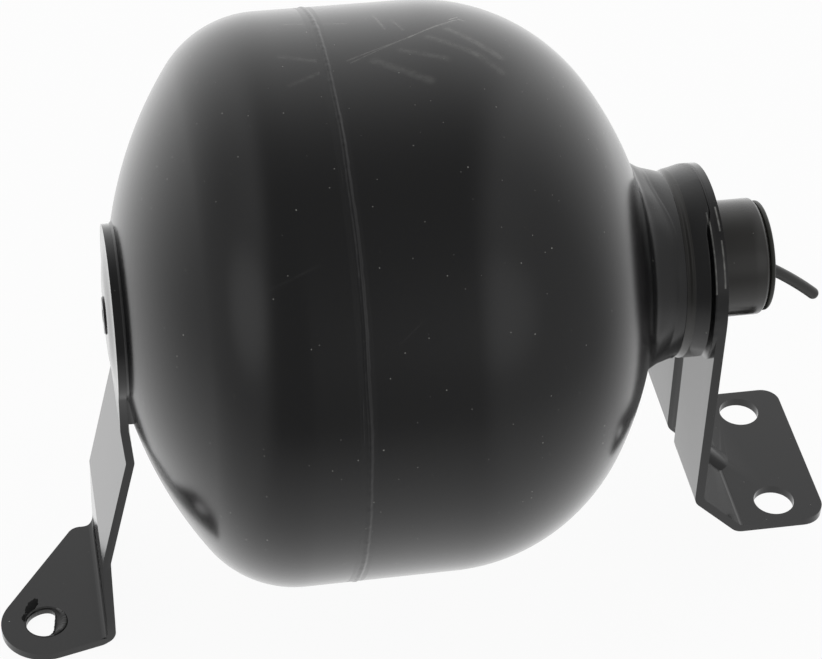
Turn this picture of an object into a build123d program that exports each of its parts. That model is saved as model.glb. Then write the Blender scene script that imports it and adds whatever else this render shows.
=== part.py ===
from build123d import *
import math
import os

# Suspension accumulator: a welded diaphragm pressure vessel on two folded feet.
# Frame: X along the vessel's axis towards the port, Z up, origin on the axis in the girth weld.
# All sizes are in millimetres.

# Vessel shells, drawn from one sheet thickness
shell_radius = 60.0
shell_wall = 3.5
gas_skirt = 10.5
gas_knuckle = 23.0
gas_crown = 86.0
fluid_skirt = 21.0
fluid_knuckle = 42.0
fluid_crown = 74.0
pole_flat_radius = 18.0

# Girth weld between the shells
bead_half_width = 1.0
bead_depth = 2.4
bead_height = 0.4

# Diaphragm and the rings that hold its rim
ring_length = 14.0
ring_wall = 3.0
seat_thickness = 4.0
rim_depth = 4.0
rim_thickness = 4.5
clamp_length = 5.5
diaphragm_wall = 2.0
diaphragm_knuckle = 25.0
diaphragm_crown = 66.0
ring_clearance = 0.05
rim_clearance = 0.1

# Closing button in the middle of the diaphragm
button_radius = 12.0
button_thickness = 3.0
button_edge = 0.6
seat_gap = 0.3

# Gas charge plug and its seal, at the gas pole
charge_bore = 2.6
charge_shank_clearance = 0.05
charge_head_radius = 4.0
charge_head_proud = 1.3
charge_head_chamfer = 0.25
charge_tail = 4.0
charge_socket_across = 3.0
charge_socket_depth = 1.0
seal_pocket_radius = 3.8
seal_pocket_depth = 1.2
seal_clearance = 0.05

# Port fitting, turned from one bar
collar_radius = 20.3
neck_radius = 19.8
neck_entry = 1.0
collar_length = 5.3
collar_edge = 1.6
groove_width = 0.8
groove_depth = 0.5
boss_radius = 12.5
boss_length = 14.3
boss_edge = 0.8
thread_minor_radius = 7.2
thread_depth = 14.0
passage_radius = 3.0
neck_reach = 12.77

# Neck weld, a cone of weld metal from the dome to the neck
neck_weld_foot = 23.3
neck_weld_edge = 0.15
neck_weld_sag = 0.35

# Folded sheet shared by both brackets
sheet = 2.0
bend_radius = 1.5
hole_radius = 4.5

# Port bracket: plate, strap, sloping facet and foot
port_width = 43.5
port_lean = 1.2
port_drop = 61.0
port_facet = 10.6
port_reach = 31.4
port_hole_offset = 20.9
port_hole_pitch = 30.0
port_corner = 4.0
port_boss_clearance = 0.1
rib_outer_radius = 5.0
rib_inner_radius = 3.2
rib_height = 2.0
rib_top = 25.0
bracket_weld_leg = 1.3
bracket_weld_contact = 40.0

# End bracket: round pad, set-out strap and triangular foot, of a thinner sheet
end_sheet = 1.8
pad_radius = 18.9
strap_width = 33.0
end_width = 39.0
end_drop = 77.0
pad_lean_z = -18.0
first_bend_z = -27.0
first_bend_inset = 0.8
second_bend_z = -55.5
second_bend_outset = 5.4
flare_start_z = -58.0
flare_end_z = -70.0
end_hole_reach = 13.0
end_hole_inset = 6.9
end_tip_radius = 9.8
end_corner_reach = 3.3
end_corner_radius = 3.0
end_relief_step = 3.3
end_relief_radius = 2.5
pad_hole_clearance = 0.4
end_weld_leg = 1.3
end_weld_chamfer = 0.6
end_weld_depth = 2.6
end_weld_end_z = -16.0

# Transport plug of soft plastic, with a moulded pull tail
plug_rim_radius = 11.8
plug_rim_thickness = 1.5
plug_rim_edge = 0.5
plug_rim_gap = 0.1
plug_skirt_radius = 6.95
plug_skirt_wall = 1.6
plug_skirt_length = 9.0
barb_height = 0.2
barb_width = 0.8
barb_pitch = 2.2
barb_count = 3
tail_radius = 1.3
tail_root_drop = 2.1
tail_reach = 13.1
tail_drop = 12.1
tail_angle = 30.0


def dome_crown_offset(knuckle, crown, radius):
    """Distance along the axis from the dome's tangent line back to the crown's centre."""
    return math.sqrt((crown - knuckle) ** 2 - (radius - knuckle) ** 2)


def crown_x(skirt, knuckle, crown, radius, at_radius):
    """Axial place of the crown's surface at a distance from the axis, outwards from the seam."""
    centre = skirt - dome_crown_offset(knuckle, crown, radius)
    return centre + math.sqrt(crown ** 2 - at_radius ** 2)


def crown_radius_at(skirt, knuckle, crown, radius, at_x):
    """Distance from the axis to the crown's surface at an axial place."""
    centre = skirt - dome_crown_offset(knuckle, crown, radius)
    return math.sqrt(crown ** 2 - (at_x - centre) ** 2)


def dome_arcs(side, skirt, knuckle, crown, radius, end_radius):
    """Knuckle and crown arcs of a torispherical dome, each as its start, middle and end."""
    offset_x = dome_crown_offset(knuckle, crown, radius)
    join = math.atan2(radius - knuckle, offset_x)
    end = math.asin(end_radius / crown)

    def on_knuckle(angle):
        x = skirt + knuckle * math.cos(angle)
        return (side * x, radius - knuckle + knuckle * math.sin(angle))

    def on_crown(angle):
        x = skirt - offset_x + crown * math.cos(angle)
        return (side * x, crown * math.sin(angle))

    upright = math.pi / 2
    knuckle_arc = [on_knuckle(a) for a in (upright, (upright + join) / 2, join)]
    crown_arc = [on_crown(a) for a in (join, (join + end) / 2, end)]
    return knuckle_arc, crown_arc


# Places that several pieces share
inner_radius = shell_radius - shell_wall
gas_size = (gas_skirt, gas_knuckle, gas_crown, shell_radius)
gas_inner_size = (gas_skirt, gas_knuckle - shell_wall, gas_crown - shell_wall, inner_radius)
fluid_size = (fluid_skirt, fluid_knuckle, fluid_crown, shell_radius)
fluid_inner_size = (fluid_skirt, fluid_knuckle - shell_wall, fluid_crown - shell_wall, inner_radius)
pole_x = -crown_x(*gas_size, pole_flat_radius)
pole_inner_x = pole_x + shell_wall
pole_inner_radius = crown_radius_at(*gas_inner_size, -pole_inner_x)
neck_bore = neck_radius + ring_clearance
shoulder_x = crown_x(*fluid_size, neck_bore) + neck_reach
boss_end_x = shoulder_x + boss_length
collar_x = shoulder_x - collar_length
fitting_inner_x = crown_x(*fluid_inner_size, neck_bore) - neck_entry

# Gas shell: half vessel with the pole pressed flat for the end bracket
with BuildPart() as gas_shell:
    with BuildSketch(Plane.XZ):
        with BuildLine():
            outer = dome_arcs(-1, *gas_size, pole_flat_radius)
            inner = dome_arcs(-1, *gas_inner_size, pole_inner_radius)
            Polyline(
                inner[0][0],
                (0, inner_radius),
                (0, shell_radius - bead_depth),
                (-bead_half_width, shell_radius),
                outer[0][0],
            )
            ThreePointArc(*outer[0])
            ThreePointArc(*outer[1])
            Polyline(
                outer[1][2],
                (pole_x, seal_pocket_radius),
                (pole_x + seal_pocket_depth, seal_pocket_radius),
                (pole_x + seal_pocket_depth, charge_bore),
                (pole_inner_x, charge_bore),
                inner[1][2],
            )
            ThreePointArc(*inner[1])
            ThreePointArc(*inner[0])
        make_face()
    revolve(axis=Axis.X)

# Fluid shell: half vessel with a hole for the port fitting
with BuildPart() as fluid_shell:
    with BuildSketch(Plane.XZ):
        with BuildLine():
            outer = dome_arcs(1, *fluid_size, neck_bore)
            inner = dome_arcs(1, *fluid_inner_size, neck_bore)
            Polyline(
                inner[0][0],
                (0, inner_radius),
                (0, shell_radius - bead_depth),
                (bead_half_width, shell_radius),
                outer[0][0],
            )
            ThreePointArc(*outer[0])
            ThreePointArc(*outer[1])
            Line(outer[1][2], inner[1][2])
            ThreePointArc(*inner[1])
            ThreePointArc(*inner[0])
        make_face()
    revolve(axis=Axis.X)

# Girth weld: fills the groove between the shells and stands a little proud
with BuildPart() as girth_weld:
    with BuildSketch(Plane.XZ):
        with BuildLine():
            Polyline(
                (-bead_half_width, shell_radius),
                (0, shell_radius - bead_depth),
                (bead_half_width, shell_radius),
            )
            ThreePointArc(
                (-bead_half_width, shell_radius),
                (0, shell_radius + bead_height),
                (bead_half_width, shell_radius),
            )
        make_face()
    revolve(axis=Axis.X)

# Support ring: backs the girth weld and carries the seat of the diaphragm's rim
ring_outer = inner_radius - ring_clearance
ring_bore = ring_outer - ring_wall
rim_inner = ring_bore - rim_depth
seat_x = ring_length / 2 - seat_thickness
with BuildPart() as support_ring:
    with BuildSketch(Plane.XZ):
        with BuildLine():
            Polyline(
                (-ring_length / 2, ring_bore),
                (-ring_length / 2, ring_outer),
                (ring_length / 2, ring_outer),
                (ring_length / 2, rim_inner + diaphragm_wall),
                (seat_x, rim_inner + diaphragm_wall),
                (seat_x, ring_bore),
                close=True,
            )
        make_face()
    revolve(axis=Axis.X)

# Clamp ring: presses the diaphragm's rim on its seat, held in the support ring by a press fit
clamp_x = seat_x - rim_thickness
with BuildPart() as clamp_ring:
    with BuildSketch(Plane.XZ):
        with BuildLine():
            Polyline(
                (clamp_x - clamp_length, ring_bore - ring_wall),
                (clamp_x - clamp_length, ring_bore),
                (clamp_x, ring_bore),
                (clamp_x, rim_inner),
                (clamp_x - clamp_length / 2, rim_inner),
                close=True,
            )
        make_face()
    revolve(axis=Axis.X)

# Diaphragm: moulded rubber cup with a thick rim, lying towards the fluid dome
skin_radius = rim_inner + diaphragm_wall - rim_clearance
skin_end_x = fitting_inner_x - seat_gap - button_thickness
diaphragm_skirt = skin_end_x - crown_x(
    0, diaphragm_knuckle, diaphragm_crown, skin_radius, button_radius
)
skin_size = (diaphragm_skirt, diaphragm_knuckle, diaphragm_crown, skin_radius)
skin_inner_size = (
    diaphragm_skirt,
    diaphragm_knuckle - diaphragm_wall,
    diaphragm_crown - diaphragm_wall,
    skin_radius - diaphragm_wall,
)
skin_inner_end_x = skin_end_x - diaphragm_wall
skin_inner_end = crown_radius_at(*skin_inner_size, skin_inner_end_x)
with BuildPart() as diaphragm:
    with BuildSketch(Plane.XZ):
        with BuildLine():
            outer = dome_arcs(1, *skin_size, button_radius)
            inner = dome_arcs(1, *skin_inner_size, skin_inner_end)
            Polyline(
                inner[0][0],
                (clamp_x, skin_radius - diaphragm_wall),
                (clamp_x, ring_bore - rim_clearance),
                (seat_x, ring_bore - rim_clearance),
                (seat_x, skin_radius),
                outer[0][0],
            )
            ThreePointArc(*outer[0])
            ThreePointArc(*outer[1])
            Polyline(outer[1][2], (skin_end_x, 0), (skin_inner_end_x, 0), inner[1][2])
            ThreePointArc(*inner[1])
            ThreePointArc(*inner[0])
        make_face()
    revolve(axis=Axis.X)

# Closing button: steel disc bonded under the diaphragm, which shuts the port passage
with BuildPart() as closing_button:
    with BuildSketch(Plane.YZ.offset(skin_end_x)):
        Circle(button_radius)
    extrude(amount=button_thickness)
    fillet(closing_button.edges().group_by(Axis.X)[-1], button_edge)

# Charge plug: screwed into the gas pole once the vessel is filled
charge_face_x = pole_x - end_sheet - charge_head_proud
with BuildPart() as charge_plug:
    with BuildSketch(Plane.YZ.offset(pole_x)):
        Circle(charge_head_radius)
    extrude(amount=charge_face_x - pole_x)
    chamfer(charge_plug.edges().group_by(Axis.X)[0], charge_head_chamfer)
    with BuildSketch(Plane.YZ.offset(pole_x)):
        Circle(charge_bore - charge_shank_clearance)
    extrude(amount=shell_wall + charge_tail)
    with BuildSketch(Plane.YZ.offset(charge_face_x)):
        RegularPolygon(charge_socket_across / 2, 6, major_radius=False)
    extrude(amount=charge_socket_depth, mode=Mode.SUBTRACT)

# Charge plug seal: ring in the pocket of the pole, under the plug's head
with BuildPart() as charge_plug_seal:
    with BuildSketch(Plane.YZ.offset(pole_x)):
        Circle(seal_pocket_radius - seal_clearance)
        Circle(charge_bore + seal_clearance, mode=Mode.SUBTRACT)
    extrude(amount=seal_pocket_depth)

# Port fitting: neck in the dome's hole, collar, and boss with the port thread
with BuildPart() as port_fitting:
    with BuildSketch(Plane.XZ):
        with BuildLine():
            Polyline(
                (fitting_inner_x, passage_radius),
                (fitting_inner_x, neck_radius),
                (collar_x - groove_width, neck_radius),
                (collar_x - groove_width, neck_radius - groove_depth),
                (collar_x, neck_radius - groove_depth),
                (collar_x, collar_radius),
                (shoulder_x, collar_radius),
                (shoulder_x, boss_radius),
                (boss_end_x, boss_radius),
                (boss_end_x, thread_minor_radius),
                (boss_end_x - thread_depth, thread_minor_radius),
                (boss_end_x - thread_depth, passage_radius),
                close=True,
            )
        make_face()
    revolve(axis=Axis.X)
    at_shoulder = port_fitting.edges().filter_by_position(Axis.X, shoulder_x, shoulder_x)
    fillet(at_shoulder.sort_by(SortBy.RADIUS)[-1], collar_edge)
    at_mouth = port_fitting.edges().group_by(Axis.X)[-1]
    chamfer(at_mouth.sort_by(SortBy.RADIUS)[-1], boss_edge)

# Neck weld: slightly hollow cone of weld metal between the fluid dome and the neck
weld_top_x = crown_x(*fluid_size, neck_weld_foot)
weld_low_x = crown_x(*fluid_size, neck_bore)
weld_end_x = collar_x - groove_width
weld_end_radius = neck_bore + neck_weld_edge
with BuildPart() as neck_weld:
    with BuildSketch(Plane.XZ):
        with BuildLine():
            middle_x = (weld_top_x + weld_end_x) / 2
            middle_radius = (neck_weld_foot + weld_end_radius) / 2 - neck_weld_sag
            ThreePointArc(
                (weld_top_x, neck_weld_foot),
                (middle_x, middle_radius),
                (weld_end_x, weld_end_radius),
            )
            Polyline(
                (weld_end_x, weld_end_radius),
                (weld_end_x, neck_radius),
                (weld_low_x, neck_radius),
                (weld_low_x, neck_bore),
            )
            dome_middle = (neck_weld_foot + neck_bore) / 2
            ThreePointArc(
                (weld_low_x, neck_bore),
                (crown_x(*fluid_size, dome_middle), dome_middle),
                (weld_top_x, neck_weld_foot),
            )
        make_face()
    revolve(axis=Axis.X)


def offset_line(points, distance):
    """The same open line of points, shifted sideways, with its corners on the bisectors."""
    directions = [
        Vector(b[0] - a[0], b[1] - a[1]).normalized() for a, b in zip(points, points[1:])
    ]
    normals = [Vector(-d.Y, d.X) for d in directions]
    shifted = []
    for index, point in enumerate(points):
        before = normals[max(index - 1, 0)]
        after = normals[min(index, len(normals) - 1)]
        bisector = (before + after).normalized()
        reach = distance / bisector.dot(after)
        shifted.append((point[0] + bisector.X * reach, point[1] + bisector.Y * reach))
    return shifted


# Port bracket: plate round the boss, strap with a pressed rib, sloping facet, foot with two holes
foot_z = -port_drop
foot_end_x = shoulder_x + port_reach
port_face_line = [
    (shoulder_x, port_width),
    (shoulder_x, foot_z + port_facet),
    (shoulder_x + port_facet, foot_z),
    (foot_end_x, foot_z),
]
port_back_line = offset_line(port_face_line, sheet)
rib_inset = rib_outer_radius - rib_height
rib_line = offset_line(port_face_line, sheet - rib_inset)
rib_points = [
    (rib_line[1][0], 0, -rib_top),
    (rib_line[1][0], 0, rib_line[1][1]),
    (rib_line[2][0], 0, rib_line[2][1]),
]


def rib_rod(radius):
    """Round rod along the rib's centre line, with ball ends."""
    with BuildPart() as rod:
        with BuildLine():
            centre_line = Polyline(*rib_points)
        with BuildSketch(Plane(origin=rib_points[0], z_dir=(0, 0, -1))):
            Circle(radius)
        sweep(path=centre_line, transition=Transition.ROUND)
        with Locations(*rib_points):
            Sphere(radius)
    return rod.part


with BuildPart() as rib_room:
    with BuildSketch(Plane.XZ):
        with BuildLine():
            Polyline(
                (shoulder_x, 0),
                *port_face_line[1:],
                (foot_end_x, 0),
                close=True,
            )
        make_face()
    extrude(amount=port_width / 2, both=True)

with BuildPart() as port_front_outline:
    with BuildSketch(Plane.YZ.offset(shoulder_x)):
        with Locations((-port_lean, 0)):
            Circle(port_width / 2)
        with Locations((0, foot_z + port_facet / 2)):
            Rectangle(port_width, port_facet)
        make_hull()
    extrude(amount=port_reach)

with BuildPart() as port_bracket:
    with BuildSketch(Plane.XZ):
        with BuildLine():
            FilletPolyline(*port_face_line, radius=bend_radius + sheet)
            FilletPolyline(*port_back_line, radius=bend_radius)
            Line(port_face_line[0], port_back_line[0])
            Line(port_face_line[-1], port_back_line[-1])
        make_face()
    extrude(amount=port_width, both=True)
    add(port_front_outline.part, mode=Mode.INTERSECT)
    fillet(port_bracket.edges().filter_by(Axis.Z).group_by(Axis.X)[-1], port_corner)
    add(rib_rod(rib_outer_radius) & rib_room.part)
    add(rib_rod(rib_inner_radius), mode=Mode.SUBTRACT)
    with Locations(Plane.YZ.offset(shoulder_x + sheet)):
        Hole(boss_radius + port_boss_clearance, depth=sheet * 2)
    with Locations(Plane.XY.offset(foot_z + sheet)):
        with Locations((shoulder_x + port_hole_offset, 0)):
            with GridLocations(1, port_hole_pitch, 1, 2):
                Hole(hole_radius, depth=sheet * 2)

# Port bracket weld: ring of weld metal between the collar's rounded edge and the plate
edge_centre_x = shoulder_x - collar_edge
edge_centre_radius = collar_radius - collar_edge


def on_collar_edge(degrees):
    """Point on the rounded edge of the collar, by its angle from the axis."""
    angle = math.radians(degrees)
    x = edge_centre_x + collar_edge * math.cos(angle)
    return (x, edge_centre_radius + collar_edge * math.sin(angle))


with BuildPart() as port_bracket_weld:
    with BuildSketch(Plane.XZ):
        with BuildLine():
            ThreePointArc(
                on_collar_edge(0),
                on_collar_edge(bracket_weld_contact / 2),
                on_collar_edge(bracket_weld_contact),
            )
            Polyline(
                on_collar_edge(bracket_weld_contact),
                (shoulder_x, edge_centre_radius + bracket_weld_leg),
                on_collar_edge(0),
            )
        make_face()
    revolve(axis=Axis.X)

# End bracket: round pad on the pole, strap set out past the dome, foot that narrows to one hole
pad_x = pole_x - end_sheet
end_foot_z = -end_drop
strap_x = pad_x - second_bend_outset
end_hole_x = strap_x - end_hole_reach
end_foot_top = end_foot_z + end_sheet
end_foot_rear = end_width / 2 - end_relief_step
end_corner_side = end_foot_rear - end_corner_radius
end_hole_side = end_width / 2 - end_hole_inset
end_face_line = [
    (pad_x, pad_radius),
    (pad_x, pad_lean_z),
    (pad_x + first_bend_inset, first_bend_z),
    (strap_x, second_bend_z),
    (strap_x, end_foot_top),
    (end_hole_x - end_tip_radius, end_foot_top),
]
end_back_line = offset_line(end_face_line, end_sheet)

with BuildPart() as end_front_outline:
    with BuildSketch(Plane.YZ.offset(end_hole_x - end_tip_radius)):
        Circle(pad_radius)
        with Locations((0, flare_start_z / 2)):
            Rectangle(strap_width, -flare_start_z)
        with BuildLine():
            Polyline(
                (-strap_width / 2, flare_start_z),
                (-end_width / 2, flare_end_z),
                (-end_width / 2, end_foot_z),
                (end_width / 2, end_foot_z),
                (end_width / 2, flare_end_z),
                (strap_width / 2, flare_start_z),
                close=True,
            )
        make_face()
        with Locations((0, end_foot_z + end_sheet / 2)):
            Rectangle(end_width * 2, end_sheet)
    extrude(amount=-end_hole_x + end_tip_radius)

with BuildPart() as end_plan_outline:
    with BuildSketch(Plane.XY.offset(end_foot_z)) as foot_plan:
        with Locations((end_hole_x, -end_hole_side)):
            Circle(end_tip_radius)
        with Locations((strap_x - end_corner_reach, end_corner_side)):
            Circle(end_corner_radius)
        with Locations((strap_x - bend_radius / 2, -end_width / 4)):
            Rectangle(bend_radius, end_width / 2)
        with Locations((strap_x / 2, end_foot_rear / 2)):
            Rectangle(-strap_x, end_foot_rear)
        make_hull()
        with Locations((strap_x / 2, 0)):
            Rectangle(-strap_x, end_width)
        relief_corner = foot_plan.vertices().sort_by_distance((strap_x, end_foot_rear))[0]
        fillet(relief_corner, end_relief_radius)
    extrude(amount=end_drop + pad_radius)

with BuildPart() as end_bracket:
    with BuildSketch(Plane.XZ):
        with BuildLine():
            FilletPolyline(*end_face_line, radius=bend_radius)
            FilletPolyline(*end_back_line, radius=bend_radius + end_sheet)
            Line(end_face_line[0], end_back_line[0])
            Line(end_face_line[-1], end_back_line[-1])
        make_face()
    extrude(amount=end_width, both=True)
    add(end_front_outline.part, mode=Mode.INTERSECT)
    add(end_plan_outline.part, mode=Mode.INTERSECT)
    with Locations(Plane.YZ.offset(pad_x + end_sheet)):
        Hole(charge_head_radius + pad_hole_clearance, depth=end_sheet * 2)
    with Locations(Plane.XY.offset(end_foot_top)):
        with Locations((end_hole_x, -end_hole_side)):
            Hole(hole_radius, depth=end_sheet * 2)

# End bracket weld: along the pad's rim and down both sides of the strap, on the dome
weld_x = pad_x + end_sheet / 2
with BuildPart() as end_bracket_weld:
    with BuildSketch(Plane.YZ.offset(weld_x)):
        Circle(pad_radius + end_weld_leg)
        with Locations((0, end_weld_end_z / 2)):
            Rectangle(strap_width + end_weld_leg * 2, -end_weld_end_z)
        Circle(pad_radius, mode=Mode.SUBTRACT)
        with Locations((0, end_weld_end_z)):
            Rectangle(strap_width, -end_weld_end_z * 2, mode=Mode.SUBTRACT)
        with Locations((0, end_weld_end_z - pad_radius)):
            Rectangle(pad_radius * 3, pad_radius * 2, mode=Mode.SUBTRACT)
    extrude(amount=end_weld_depth)
    outer_edges = end_bracket_weld.faces().sort_by(Axis.X)[0].edges().sort_by(SortBy.LENGTH)
    chamfer(outer_edges[-1], end_weld_chamfer)
    add(gas_shell.part, mode=Mode.SUBTRACT)

# Transport plug: rim against the boss, barbed hollow skirt in the thread, moulded pull tail
rim_x = boss_end_x + plug_rim_gap
rim_face_x = rim_x + plug_rim_thickness
with BuildPart() as transport_plug:
    with BuildSketch(Plane.YZ.offset(rim_x)):
        Circle(plug_rim_radius)
    extrude(amount=plug_rim_thickness)
    fillet(transport_plug.edges().filter_by(GeomType.CIRCLE), plug_rim_edge)
    with BuildSketch(Plane.XZ):
        with BuildLine():
            barb_points = []
            for index in range(barb_count):
                barb_x = rim_x - plug_skirt_length + barb_pitch * (index + 0.5)
                barb_points += [
                    (barb_x, plug_skirt_radius),
                    (barb_x + barb_width, plug_skirt_radius + barb_height),
                    (barb_x + barb_width, plug_skirt_radius),
                ]
            Polyline(
                (rim_x, plug_skirt_radius - plug_skirt_wall),
                (rim_x - plug_skirt_length, plug_skirt_radius - plug_skirt_wall),
                (rim_x - plug_skirt_length, plug_skirt_radius),
                *barb_points,
                (rim_x, plug_skirt_radius),
                close=True,
            )
        make_face()
    revolve(axis=Axis.X)
    slope = math.radians(tail_angle)
    with BuildLine(Plane.XZ):
        tail_line = TangentArc(
            (rim_face_x - plug_rim_edge, -tail_root_drop),
            (rim_face_x + tail_reach, -tail_drop),
            tangent=(math.cos(slope), -math.sin(slope)),
        )
    with BuildSketch(Plane(origin=tail_line @ 0, z_dir=tail_line % 0)):
        Circle(tail_radius)
    sweep(path=tail_line)
    with Locations(tail_line @ 1):
        Sphere(tail_radius)

pieces = {
    "gas_shell": gas_shell,
    "fluid_shell": fluid_shell,
    "girth_weld": girth_weld,
    "support_ring": support_ring,
    "clamp_ring": clamp_ring,
    "diaphragm": diaphragm,
    "closing_button": closing_button,
    "charge_plug": charge_plug,
    "charge_plug_seal": charge_plug_seal,
    "port_fitting": port_fitting,
    "neck_weld": neck_weld,
    "port_bracket": port_bracket,
    "port_bracket_weld": port_bracket_weld,
    "end_bracket": end_bracket,
    "end_bracket_weld": end_bracket_weld,
    "transport_plug": transport_plug,
}
os.makedirs("parts", exist_ok=True)
for name, piece in pieces.items():
    piece.part.label = name
    export_step(piece.part, f"parts/{name}.step")
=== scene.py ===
# %% [markdown]
# # Suspension accumulator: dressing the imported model
# The accumulator is a pressed and welded steel vessel on two folded sheet feet, dipped in black
# paint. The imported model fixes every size, so this lesson only adds what the eye looks for:
# smooth drawn shells, uneven weld beads, rounded sheet edges, paint, dust and wear.
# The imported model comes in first, and nothing in it is ever moved.

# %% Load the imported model
import math

import bmesh
import bpy
import numpy as np
from mathutils import Matrix, Vector


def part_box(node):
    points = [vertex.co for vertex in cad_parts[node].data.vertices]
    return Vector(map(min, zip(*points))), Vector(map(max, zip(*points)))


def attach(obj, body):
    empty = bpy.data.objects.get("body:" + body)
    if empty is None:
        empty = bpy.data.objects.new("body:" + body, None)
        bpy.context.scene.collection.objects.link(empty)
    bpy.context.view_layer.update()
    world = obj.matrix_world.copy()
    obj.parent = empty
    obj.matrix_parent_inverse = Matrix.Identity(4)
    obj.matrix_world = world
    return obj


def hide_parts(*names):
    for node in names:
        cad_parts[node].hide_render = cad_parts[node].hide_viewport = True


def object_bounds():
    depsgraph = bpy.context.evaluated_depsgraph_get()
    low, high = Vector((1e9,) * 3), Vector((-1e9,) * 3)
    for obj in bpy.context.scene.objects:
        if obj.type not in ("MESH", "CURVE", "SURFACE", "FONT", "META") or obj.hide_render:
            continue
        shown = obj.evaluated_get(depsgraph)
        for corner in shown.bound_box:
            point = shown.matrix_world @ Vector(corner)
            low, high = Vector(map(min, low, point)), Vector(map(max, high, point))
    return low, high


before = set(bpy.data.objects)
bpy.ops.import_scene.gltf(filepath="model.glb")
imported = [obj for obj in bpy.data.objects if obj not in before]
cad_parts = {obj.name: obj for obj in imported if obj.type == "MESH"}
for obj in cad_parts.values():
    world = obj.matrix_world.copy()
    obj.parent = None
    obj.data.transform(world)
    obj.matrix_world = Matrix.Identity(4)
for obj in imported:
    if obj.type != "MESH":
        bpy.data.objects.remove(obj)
cad_low, cad_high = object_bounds()
MM = 0.001
print("CAD box in mm:", [round(v / MM, 1) for v in (*cad_low, *cad_high)])

# %% [markdown]
# ## From a grid of points to a mesh
# Nearly every piece of the vessel is round, so its shape is a grid: one direction follows the
# section, the other goes round. Blender can spin or screw a curve, but a grid worked out with
# numpy keeps full control of each point, so a bead can be uneven and a shell slightly wavy.
# A closed grid has an inside, and the sign of its volume tells which way its faces look.

# %% Grid helpers


def grid_faces(rows, columns, close_rows, close_columns):
    """Corners of each cell of a grid, as indexes; a closed direction joins last line to first."""
    index = np.arange(rows * columns).reshape(rows, columns)
    if close_rows:
        index = np.vstack([index, index[:1]])
    if close_columns:
        index = np.hstack([index, index[:, :1]])
    cells = [index[:-1, :-1], index[1:, :-1], index[1:, 1:], index[:-1, 1:]]
    return np.stack(cells, axis=-1).reshape(-1, 4)


def enclosed_volume(points, faces):
    """Sum over the faces of the tetrahedra between each half of a face and the origin."""
    a, b, c, d = (points[faces[:, k]] for k in range(4))
    halves = np.einsum("ij,ij->i", a, np.cross(b, c)) + np.einsum("ij,ij->i", a, np.cross(c, d))
    return halves.sum() / 6


SAME_PLACE = 1e-7


def piece_from_faces(name, points_mm, faces, sharp_degrees=35):
    """Object whose mesh has these points and faces, smooth except across sharp edges."""
    mesh = bpy.data.meshes.new(name)
    mesh.from_pydata((points_mm * MM).tolist(), [], faces.tolist())
    shape = bmesh.new()
    shape.from_mesh(mesh)
    bmesh.ops.remove_doubles(shape, verts=shape.verts, dist=SAME_PLACE)
    shape.to_mesh(mesh)
    shape.free()
    mesh.shade_smooth()
    mesh.set_sharp_from_angle(angle=math.radians(sharp_degrees))
    piece = bpy.data.objects.new(name, mesh)
    bpy.context.scene.collection.objects.link(piece)
    return piece


def piece_from_grids(name, grids, sharp_degrees=35):
    """One piece from several closed grids of points in mm, each turned to face outwards."""
    all_points, all_faces, used = [], [], 0
    for grid, close_rows, close_columns in grids:
        points = grid.reshape(-1, 3)
        faces = grid_faces(*grid.shape[:2], close_rows, close_columns)
        if enclosed_volume(points, faces) < 0:
            faces = faces[:, ::-1]
        all_points.append(points)
        all_faces.append(faces + used)
        used += len(points)
    piece = piece_from_faces(name, np.vstack(all_points), np.vstack(all_faces), sharp_degrees)
    print(f"{name}: {len(piece.data.polygons)} faces")
    return piece


def carried_round(x, r, turns):
    """Grid round the X axis: place and radius of each row, which may change with the angle."""
    x, r, turns = np.broadcast_arrays(x, r, turns)
    return np.stack([x, r * np.cos(turns), r * np.sin(turns)], axis=-1)


def turned(profile, turns):
    """Lathe shape: the same profile of (x, r) at every angle."""
    return carried_round(profile[:, :1], profile[:, 1:], turns)


def dressed(piece, body, slot, *nodes):
    """The piece rides a body and stands for its CAD nodes, which it hides; the slot is not used."""
    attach(piece, body)
    if nodes:
        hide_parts(*nodes)
    return piece


def full_circle(count):
    """Evenly spaced angles of one turn, without the repeated last one."""
    return np.linspace(0, 2 * math.pi, count, endpoint=False)


# %% [markdown]
# ## Slow, repeatable unevenness
# Pressed sheet and weld metal are never perfect. A handful of sine waves with random phases,
# drawn from a seeded generator, gives the same gentle unevenness on every run. Whole numbers of
# waves round the vessel make the pattern meet itself after a full turn.

# %% Unevenness


def uneven(turns, along, counts_round, counts_along, seed):
    """Sum of sines in the angle and the way along, one per pair of counts, about one high."""
    draw = np.random.default_rng(seed)
    total = 0
    for round_count, along_count in zip(counts_round, counts_along):
        phase, tilt = draw.uniform(0, 2 * math.pi, 2)
        total = total + np.sin(round_count * turns + phase) * np.cos(along_count * along + tilt)
    return total / math.sqrt(len(counts_round))


def uneven_round(turns, counts, seed):
    """The same for a pattern that changes with the angle only."""
    return uneven(turns, 0, counts, [0] * len(counts), seed)


def smooth_step(value, start, end):
    """Zero before the start, one after the end, and an S curve between them."""
    part = np.clip((value - start) / (end - start), 0, 1)
    return part * part * (3 - 2 * part)


def bell(offset, width):
    """Bell curve: e to the power of minus the square of offset over width."""
    return np.exp(-((offset / width) ** 2))


def between(start, end, count):
    """Points on a straight line of the profile, both ends included."""
    return np.linspace(start, end, count)


def arc_points(centre, radius, start_degrees, end_degrees, count):
    """Points on a circular arc of the profile, by angle from the X axis."""
    angle = np.radians(np.linspace(start_degrees, end_degrees, count))
    return np.stack(
        [centre[0] + radius * np.cos(angle), centre[1] + radius * np.sin(angle)], axis=-1
    )


# %% [markdown]
# ## The two half shells
# Each half is deep drawn from 3.5 mm sheet: a short straight skirt, a knuckle arc and a flatter
# crown arc, tangent to each other. The section is one closed line, outside and inside, so the
# shell has its true wall. A wave of a few hundredths of a millimetre makes the gloss swim a
# little, as it does on drawn sheet.

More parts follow.
